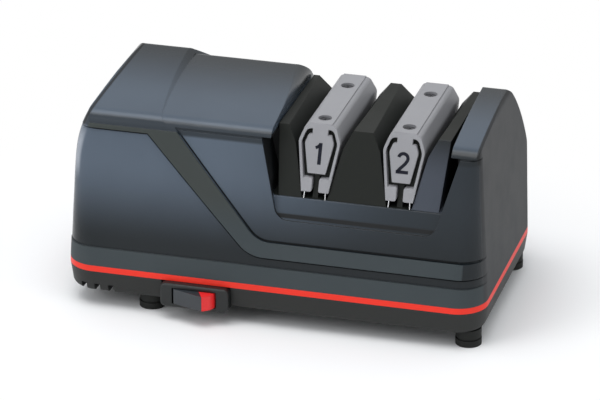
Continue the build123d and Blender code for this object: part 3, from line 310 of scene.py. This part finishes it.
def channel_material():
    """Matt black insert; the front of its right rib carries painted light, paler as far as light from the right
    reaches.
    """
    g = Graph("channel_black")
    x, y, z = g.xyz()
    big = g.noise(28.0, 4.0, 0.55)
    # Painted light on the right rib's front.
    lean = g.math("MULTIPLY", g.math("SUBTRACT", z, CHANNEL_FLOOR), RIGHT_RIB_LEAN)
    right_rib = g.ramp(g.math("SUBTRACT", x, lean), *RIGHT_RIB_EDGE)
    lit = g.both(right_rib, g.ramp(y, *RIGHT_RIB_FRONT, 1.0, 0.0))
    black = g.mix(big, col(0.006, 0.007, 0.006), col(0.009, 0.011, 0.009))
    g.set(Base_Color=g.mix(lit, black, col(0.055, 0.064, 0.082)))
    g.set(Roughness=g.ramp(big, 0.25, 0.75, 0.53, 0.63), Specular_IOR_Level=0.2)
    g.bump(g.noise(1700.0, 2.0, 0.6), 0.00005, 0.35, 0.0005)
    return g.mat


def stack_material():
    """Edges of stacked laminations."""
    g = Graph("laminated_iron")
    mottle = g.noise(90.0, 4.0, 0.6)
    g.set(Base_Color=g.mix(mottle, col(0.16, 0.16, 0.17), col(0.26, 0.25, 0.25)), Metallic=0.8, Roughness=0.48)
    g.bump(g.waves("X", 320.0), 0.0001, 0.5, 0.0003)
    return g.mat


def winding_material():
    """Enamelled wire, wound side by side round the leg."""
    g = Graph("winding_copper")
    mottle = g.noise(120.0, 3.0, 0.6)
    g.set(Base_Color=g.mix(mottle, col(0.42, 0.13, 0.04), col(0.62, 0.25, 0.09)), Metallic=0.7, Roughness=0.34)
    g.bump(g.waves("Z", 420.0, 0.4), 0.00015, 0.7)
    return g.mat


def abrasive_material():
    """Steel with a fine abrasive coat that sparkles a little."""
    g = Graph("abrasive")
    grit = g.noise(5200.0, 2.0, 0.7)
    g.set(Base_Color=g.mix(grit, col(0.22, 0.22, 0.23), col(0.55, 0.55, 0.56)), Metallic=0.85)
    g.set(Roughness=g.ramp(grit, 0.3, 0.7, 0.35, 0.7))
    g.bump(grit, 0.00008, 0.8)
    return g.mat


# Slot: colour, roughness, grain scale, grain depth, grain strength, edge radius, mottle, specular level.
MOULDED = {
    "base_black": ((0.015, 0.016, 0.015), 0.55, 1500.0, 0.00006, 0.4, 0.0005, 0.12, 0.35),
    "stripe_red": ((0.84, 0.030, 0.014), 0.42, 1800.0, 0.00002, 0.15, 0.0003, 0.05, 0.3),
    "guide_grey": ((0.275, 0.275, 0.29), 0.52, 1900.0, 0.00004, 0.3, 0.0005, 0.05, 0.35),
    "bezel_black": ((0.010, 0.012, 0.012), 0.45, 1800.0, 0.00003, 0.25, 0.0004, 0.12, 0.4),
    "rocker_black": ((0.027, 0.032, 0.038), 0.36, 1500.0, 0.00002, 0.12, 0.0004, 0.12, 0.5),
    "rocker_red": ((0.86, 0.024, 0.026), 0.34, 1500.0, 0.00002, 0.1, 0.0004, 0.05, 0.4),
    "inner_plastic": ((0.03, 0.03, 0.03), 0.5, 2200.0, 0.00004, 0.35, 0.0004, 0.12, 0.5),
    "bobbin_nylon": ((0.66, 0.63, 0.54), 0.45, 2200.0, 0.00004, 0.35, 0.0004, 0.12, 0.5),
    "black_rubber": ((0.005, 0.006, 0.005), 0.62, 900.0, 0.00006, 0.4, 0.0004, 0.12, 0.3),
    "magnet_iron": ((0.06, 0.06, 0.062), 0.5, 2200.0, 0.00004, 0.35, 0.0004, 0.12, 0.5),
}
INK = ((0.012, 0.013, 0.020), 0.6, 1500.0, 0.00002, 0.1, 0.0, 0.05, 0.1)

materials = {
    "housing_gloss": housing_material(),
    "channel_black": channel_material(),
    "winding_copper": winding_material(),
    "bronze": metal("bronze", (0.52, 0.34, 0.15), 0.45),
    "abrasive": abrasive_material(),
    "laminated_iron": stack_material(),
    "zinc_bracket": metal("zinc_bracket", (0.60, 0.61, 0.63), 0.38),
    "screw_steel": metal("screw_steel", (0.13, 0.13, 0.14), 0.48, (500.0, 500.0, 500.0)),
    "bright_steel": metal("bright_steel", (0.72, 0.73, 0.75), 0.25),
}
for slot_name, look in MOULDED.items():
    materials[slot_name] = moulded(slot_name, *look)
slot_of = {s["node"]: s["material_slot"] for s in frame["record"]["subparts"]}
for name, obj in nodes.items():
    mat = materials[slot_of[name]]
    if not obj.material_slots:
        obj.data.materials.append(mat)
    for slot in obj.material_slots:
        slot.material = mat


# ------------------------------------------------------------------ numerals on the guides
PLATE_LEAN = math.radians(21.5)
PLATE_POINT = (-50.0, 70.0)  # y and z of a point on the plates' faces, in mm
NUMERAL_Z = 88.9
NUMERAL_THICKNESS = 0.06
STAGES = (20.4, 62.0)  # x of the two guides, in mm


def placed(right, up, out, origin):
    """The matrix with these three axes and this origin."""
    m = Matrix.Identity(4)
    for i, column in enumerate((right, up, out, origin)):
        for j in range(3):
            m[j][i] = column[j]
    return m


def ribbon(points, width):
    """The left and the right edge of a strip of the given width along a centre line of 2-D points."""
    half = width / 2
    left, right = [], []
    for i, p in enumerate(points):
        a = points[max(0, i - 1)]
        b = points[min(len(points) - 1, i + 1)]
        d = (b - a).normalized()
        n = Vector((-d.y, d.x))
        left.append(p + n * half)
        right.append(p - n * half)
    return left, right


def strip_mesh(name, strips, thickness, place, mat, body):
    """A raised mesh of ribbons, laid in the plane of a guide's number plate."""
    bm = bmesh.new()
    for left, right in strips:
        la = [bm.verts.new((p.x * MM, p.y * MM, 0.0)) for p in left]
        ra = [bm.verts.new((p.x * MM, p.y * MM, 0.0)) for p in right]
        for i in range(len(la) - 1):
            bm.faces.new((ra[i], ra[i + 1], la[i + 1], la[i]))
    geom = bmesh.ops.extrude_face_region(bm, geom=bm.faces[:])
    verts = [v for v in geom["geom"] if isinstance(v, bmesh.types.BMVert)]
    bmesh.ops.translate(bm, verts=verts, vec=(0, 0, thickness * MM))
    bmesh.ops.recalc_face_normals(bm, faces=bm.faces[:])
    bm.transform(place)
    mesh = bpy.data.meshes.new(name)
    bm.to_mesh(mesh)
    bm.free()
    obj = bpy.data.objects.new(name, mesh)
    bpy.context.scene.collection.objects.link(obj)
    mesh.materials.append(mat)
    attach(obj, body)


def plate_frame(stage, z):
    """Matrix whose XY plane lies on the face of a number plate, X to the right, Y up the lean."""
    y = PLATE_POINT[0] + (z - PLATE_POINT[1]) * math.tan(PLATE_LEAN)
    up = Vector((0, math.sin(PLATE_LEAN), math.cos(PLATE_LEAN)))
    out = Vector((0, -math.cos(PLATE_LEAN), math.sin(PLATE_LEAN)))
    return placed(Vector((1, 0, 0)), up, out, (stage * MM, y * MM, z * MM))


def numeral_one(half_height):
    """The strips of a 1: a stem and a flag, in mm round the numeral's middle."""
    stem = [Vector((0.75, -half_height)), Vector((0.75, half_height))]
    flag = [
        Vector((0.55, half_height - 0.85)),
        Vector((-0.5, half_height - 1.95)),
        Vector((-1.6, half_height - 2.5)),
    ]
    return [ribbon(stem, 1.75), ribbon(flag, 1.5)]


def numeral_two(half_height):
    """The strips of a 2: a round bowl that runs into a slanting stem, and a foot."""
    stroke, radius = 1.6, 2.3
    middle, foot = half_height - 3.05, -half_height + 0.8
    bowl = []
    for step in range(25):
        angle = math.radians(168 - step * 8.6)
        bowl.append(Vector((radius * math.cos(angle), middle + radius * math.sin(angle))))
    stem = [Vector((1.15, -0.35)), Vector((-0.2, -1.8)), Vector((-1.6, -3.3)), Vector((-2.3, foot))]
    return [ribbon(bowl + stem, stroke), ribbon([Vector((-3.05, foot)), Vector((2.95, foot))], stroke)]


ink = moulded("numeral_ink", *INK)
numeral_half = 10.4 / 2
strips_of = (numeral_one(numeral_half), numeral_two(numeral_half))
for number, (strips, stage) in enumerate(zip(strips_of, STAGES), start=1):
    strip_mesh(f"numeral_{number}", strips, NUMERAL_THICKNESS, plate_frame(stage, NUMERAL_Z), ink, "housing")


# ------------------------------------------------------------------ floor, light and camera
WHITE = (1.0, 1.0, 1.0, 1.0)
SHADOW_EDGE = (0.09, 0.20)  # from here the floor turns white, in metres
SHADOW_SQUEEZE = 0.78  # the shadow's oval is longer along the machine
AIM = (0, 0, 0.06)


def seen_rays(tree):
    """1 for rays that show the background: from the camera, in gloss and through glass."""
    path = tree.nodes.new("ShaderNodeLightPath")
    seen = path.outputs["Is Camera Ray"]
    for ray in ("Is Glossy Ray", "Is Transmission Ray"):
        either = tree.nodes.new("ShaderNodeMath")
        either.operation = "MAXIMUM"
        tree.links.new(seen, either.inputs[0])
        tree.links.new(path.outputs[ray], either.inputs[1])
        seen = either.outputs[0]
    return seen


def floor_material():
    """A pale floor that keeps the shadow round the machine and turns plain white further out."""
    g = Graph("studio_floor")
    g.set(Base_Color=g.mix(g.noise(3.0, 2.0), col(0.92, 0.92, 0.925), col(0.94, 0.94, 0.94)), Roughness=0.75)
    x, y, _ = g.xyz()
    across = g.math("MULTIPLY", x, SHADOW_SQUEEZE)
    distance = g.math("SQRT", g.math("ADD", g.math("MULTIPLY", across, across), g.math("MULTIPLY", y, y)))
    white = g.node("ShaderNodeEmission")
    white.inputs["Color"].default_value = WHITE
    white.inputs["Strength"].default_value = 1.0
    mixer = g.node("ShaderNodeMixShader")
    g.link(g.both(seen_rays(g.tree), g.ramp(distance, *SHADOW_EDGE)), mixer.inputs[0])
    g.link(g.bsdf.outputs["BSDF"], mixer.inputs[1])
    g.link(white.outputs[0], mixer.inputs[2])
    g.link(mixer.outputs[0], g.out.inputs["Surface"])
    return g.mat


def studio_world():
    """Light that is bright overhead and dim towards the horizon; the camera sees plain white."""
    world = bpy.data.worlds.new("studio")
    world.use_nodes = True
    tree = world.node_tree
    tree.nodes.clear()
    out = tree.nodes.new("ShaderNodeOutputWorld")
    mixer = tree.nodes.new("ShaderNodeMixShader")
    soft = tree.nodes.new("ShaderNodeBackground")
    soft.inputs["Color"].default_value = (0.94, 0.97, 1.0, 1.0)
    way = tree.nodes.new("ShaderNodeTexCoord")
    split = tree.nodes.new("ShaderNodeSeparateXYZ")
    level = tree.nodes.new("ShaderNodeMapRange")
    level.interpolation_type = "SMOOTHSTEP"
    for i, value in enumerate((0.0, 0.30, 0.85, 0.18, 0.95)):
        level.inputs[i].default_value = value
    tree.links.new(way.outputs["Generated"], split.inputs[0])
    tree.links.new(split.outputs[2], level.inputs[0])
    tree.links.new(level.outputs[0], soft.inputs["Strength"])
    white = tree.nodes.new("ShaderNodeBackground")
    white.inputs["Color"].default_value = WHITE
    white.inputs["Strength"].default_value = 1.0
    tree.links.new(seen_rays(tree), mixer.inputs[0])
    tree.links.new(soft.outputs[0], mixer.inputs[1])
    tree.links.new(white.outputs[0], mixer.inputs[2])
    tree.links.new(mixer.outputs[0], out.inputs["Surface"])
    return world


def area(name, place, size, power, colour=(1, 1, 1), size_y=None):
    """A rectangular lamp that points at the machine."""
    data = bpy.data.lights.new(name, "AREA")
    data.shape = "RECTANGLE"
    data.size = size
    data.size_y = size_y or size
    data.energy = power
    data.color = colour
    obj = bpy.data.objects.new(name, data)
    obj.location = place
    obj.rotation_euler = (Vector(AIM) - Vector(place)).to_track_quat("-Z", "Y").to_euler()
    bpy.context.scene.collection.objects.link(obj)


def photo_camera(yaw, pitch, place):
    """A long lens at the photograph's viewing angle; yaw turns it to the right, pitch tips it down."""
    data = bpy.data.cameras.new("camera")
    data.lens = 240.0
    data.sensor_width = 36.0
    data.sensor_fit = "HORIZONTAL"
    data.clip_start = 0.05
    data.clip_end = 30.0
    right = Vector((math.cos(yaw), math.sin(yaw), 0))
    up = Vector((-math.sin(yaw) * math.sin(pitch), math.cos(yaw) * math.sin(pitch), math.cos(pitch)))
    obj = bpy.data.objects.new("camera", data)
    obj.matrix_world = placed(right, up, right.cross(up), place)
    bpy.context.scene.collection.objects.link(obj)
    return obj


mesh = bpy.data.meshes.new("studio_floor")
mesh.from_pydata([(-6, -6, 0), (6, -6, 0), (6, 6, 0), (-6, 6, 0)], [], [(0, 1, 2, 3)])
floor = bpy.data.objects.new("studio_floor", mesh)
bpy.context.scene.collection.objects.link(floor)
mesh.materials.append(floor_material())

area("top_box", (-0.1, -0.35, 1.35), 1.0, 8.5, size_y=0.8)
area("front_left_box", (-1.1, -1.1, 0.75), 0.9, 8.0, (0.97, 0.98, 1.0))
area("right_box", (1.3, -0.3, 0.6), 0.6, 1.8)
bpy.context.scene.world = studio_world()
bpy.context.scene.camera = photo_camera(math.radians(15.54), math.radians(24.17), (0.480898, -1.731160, 0.850180))
bpy.context.scene.view_settings.view_transform = "Standard"
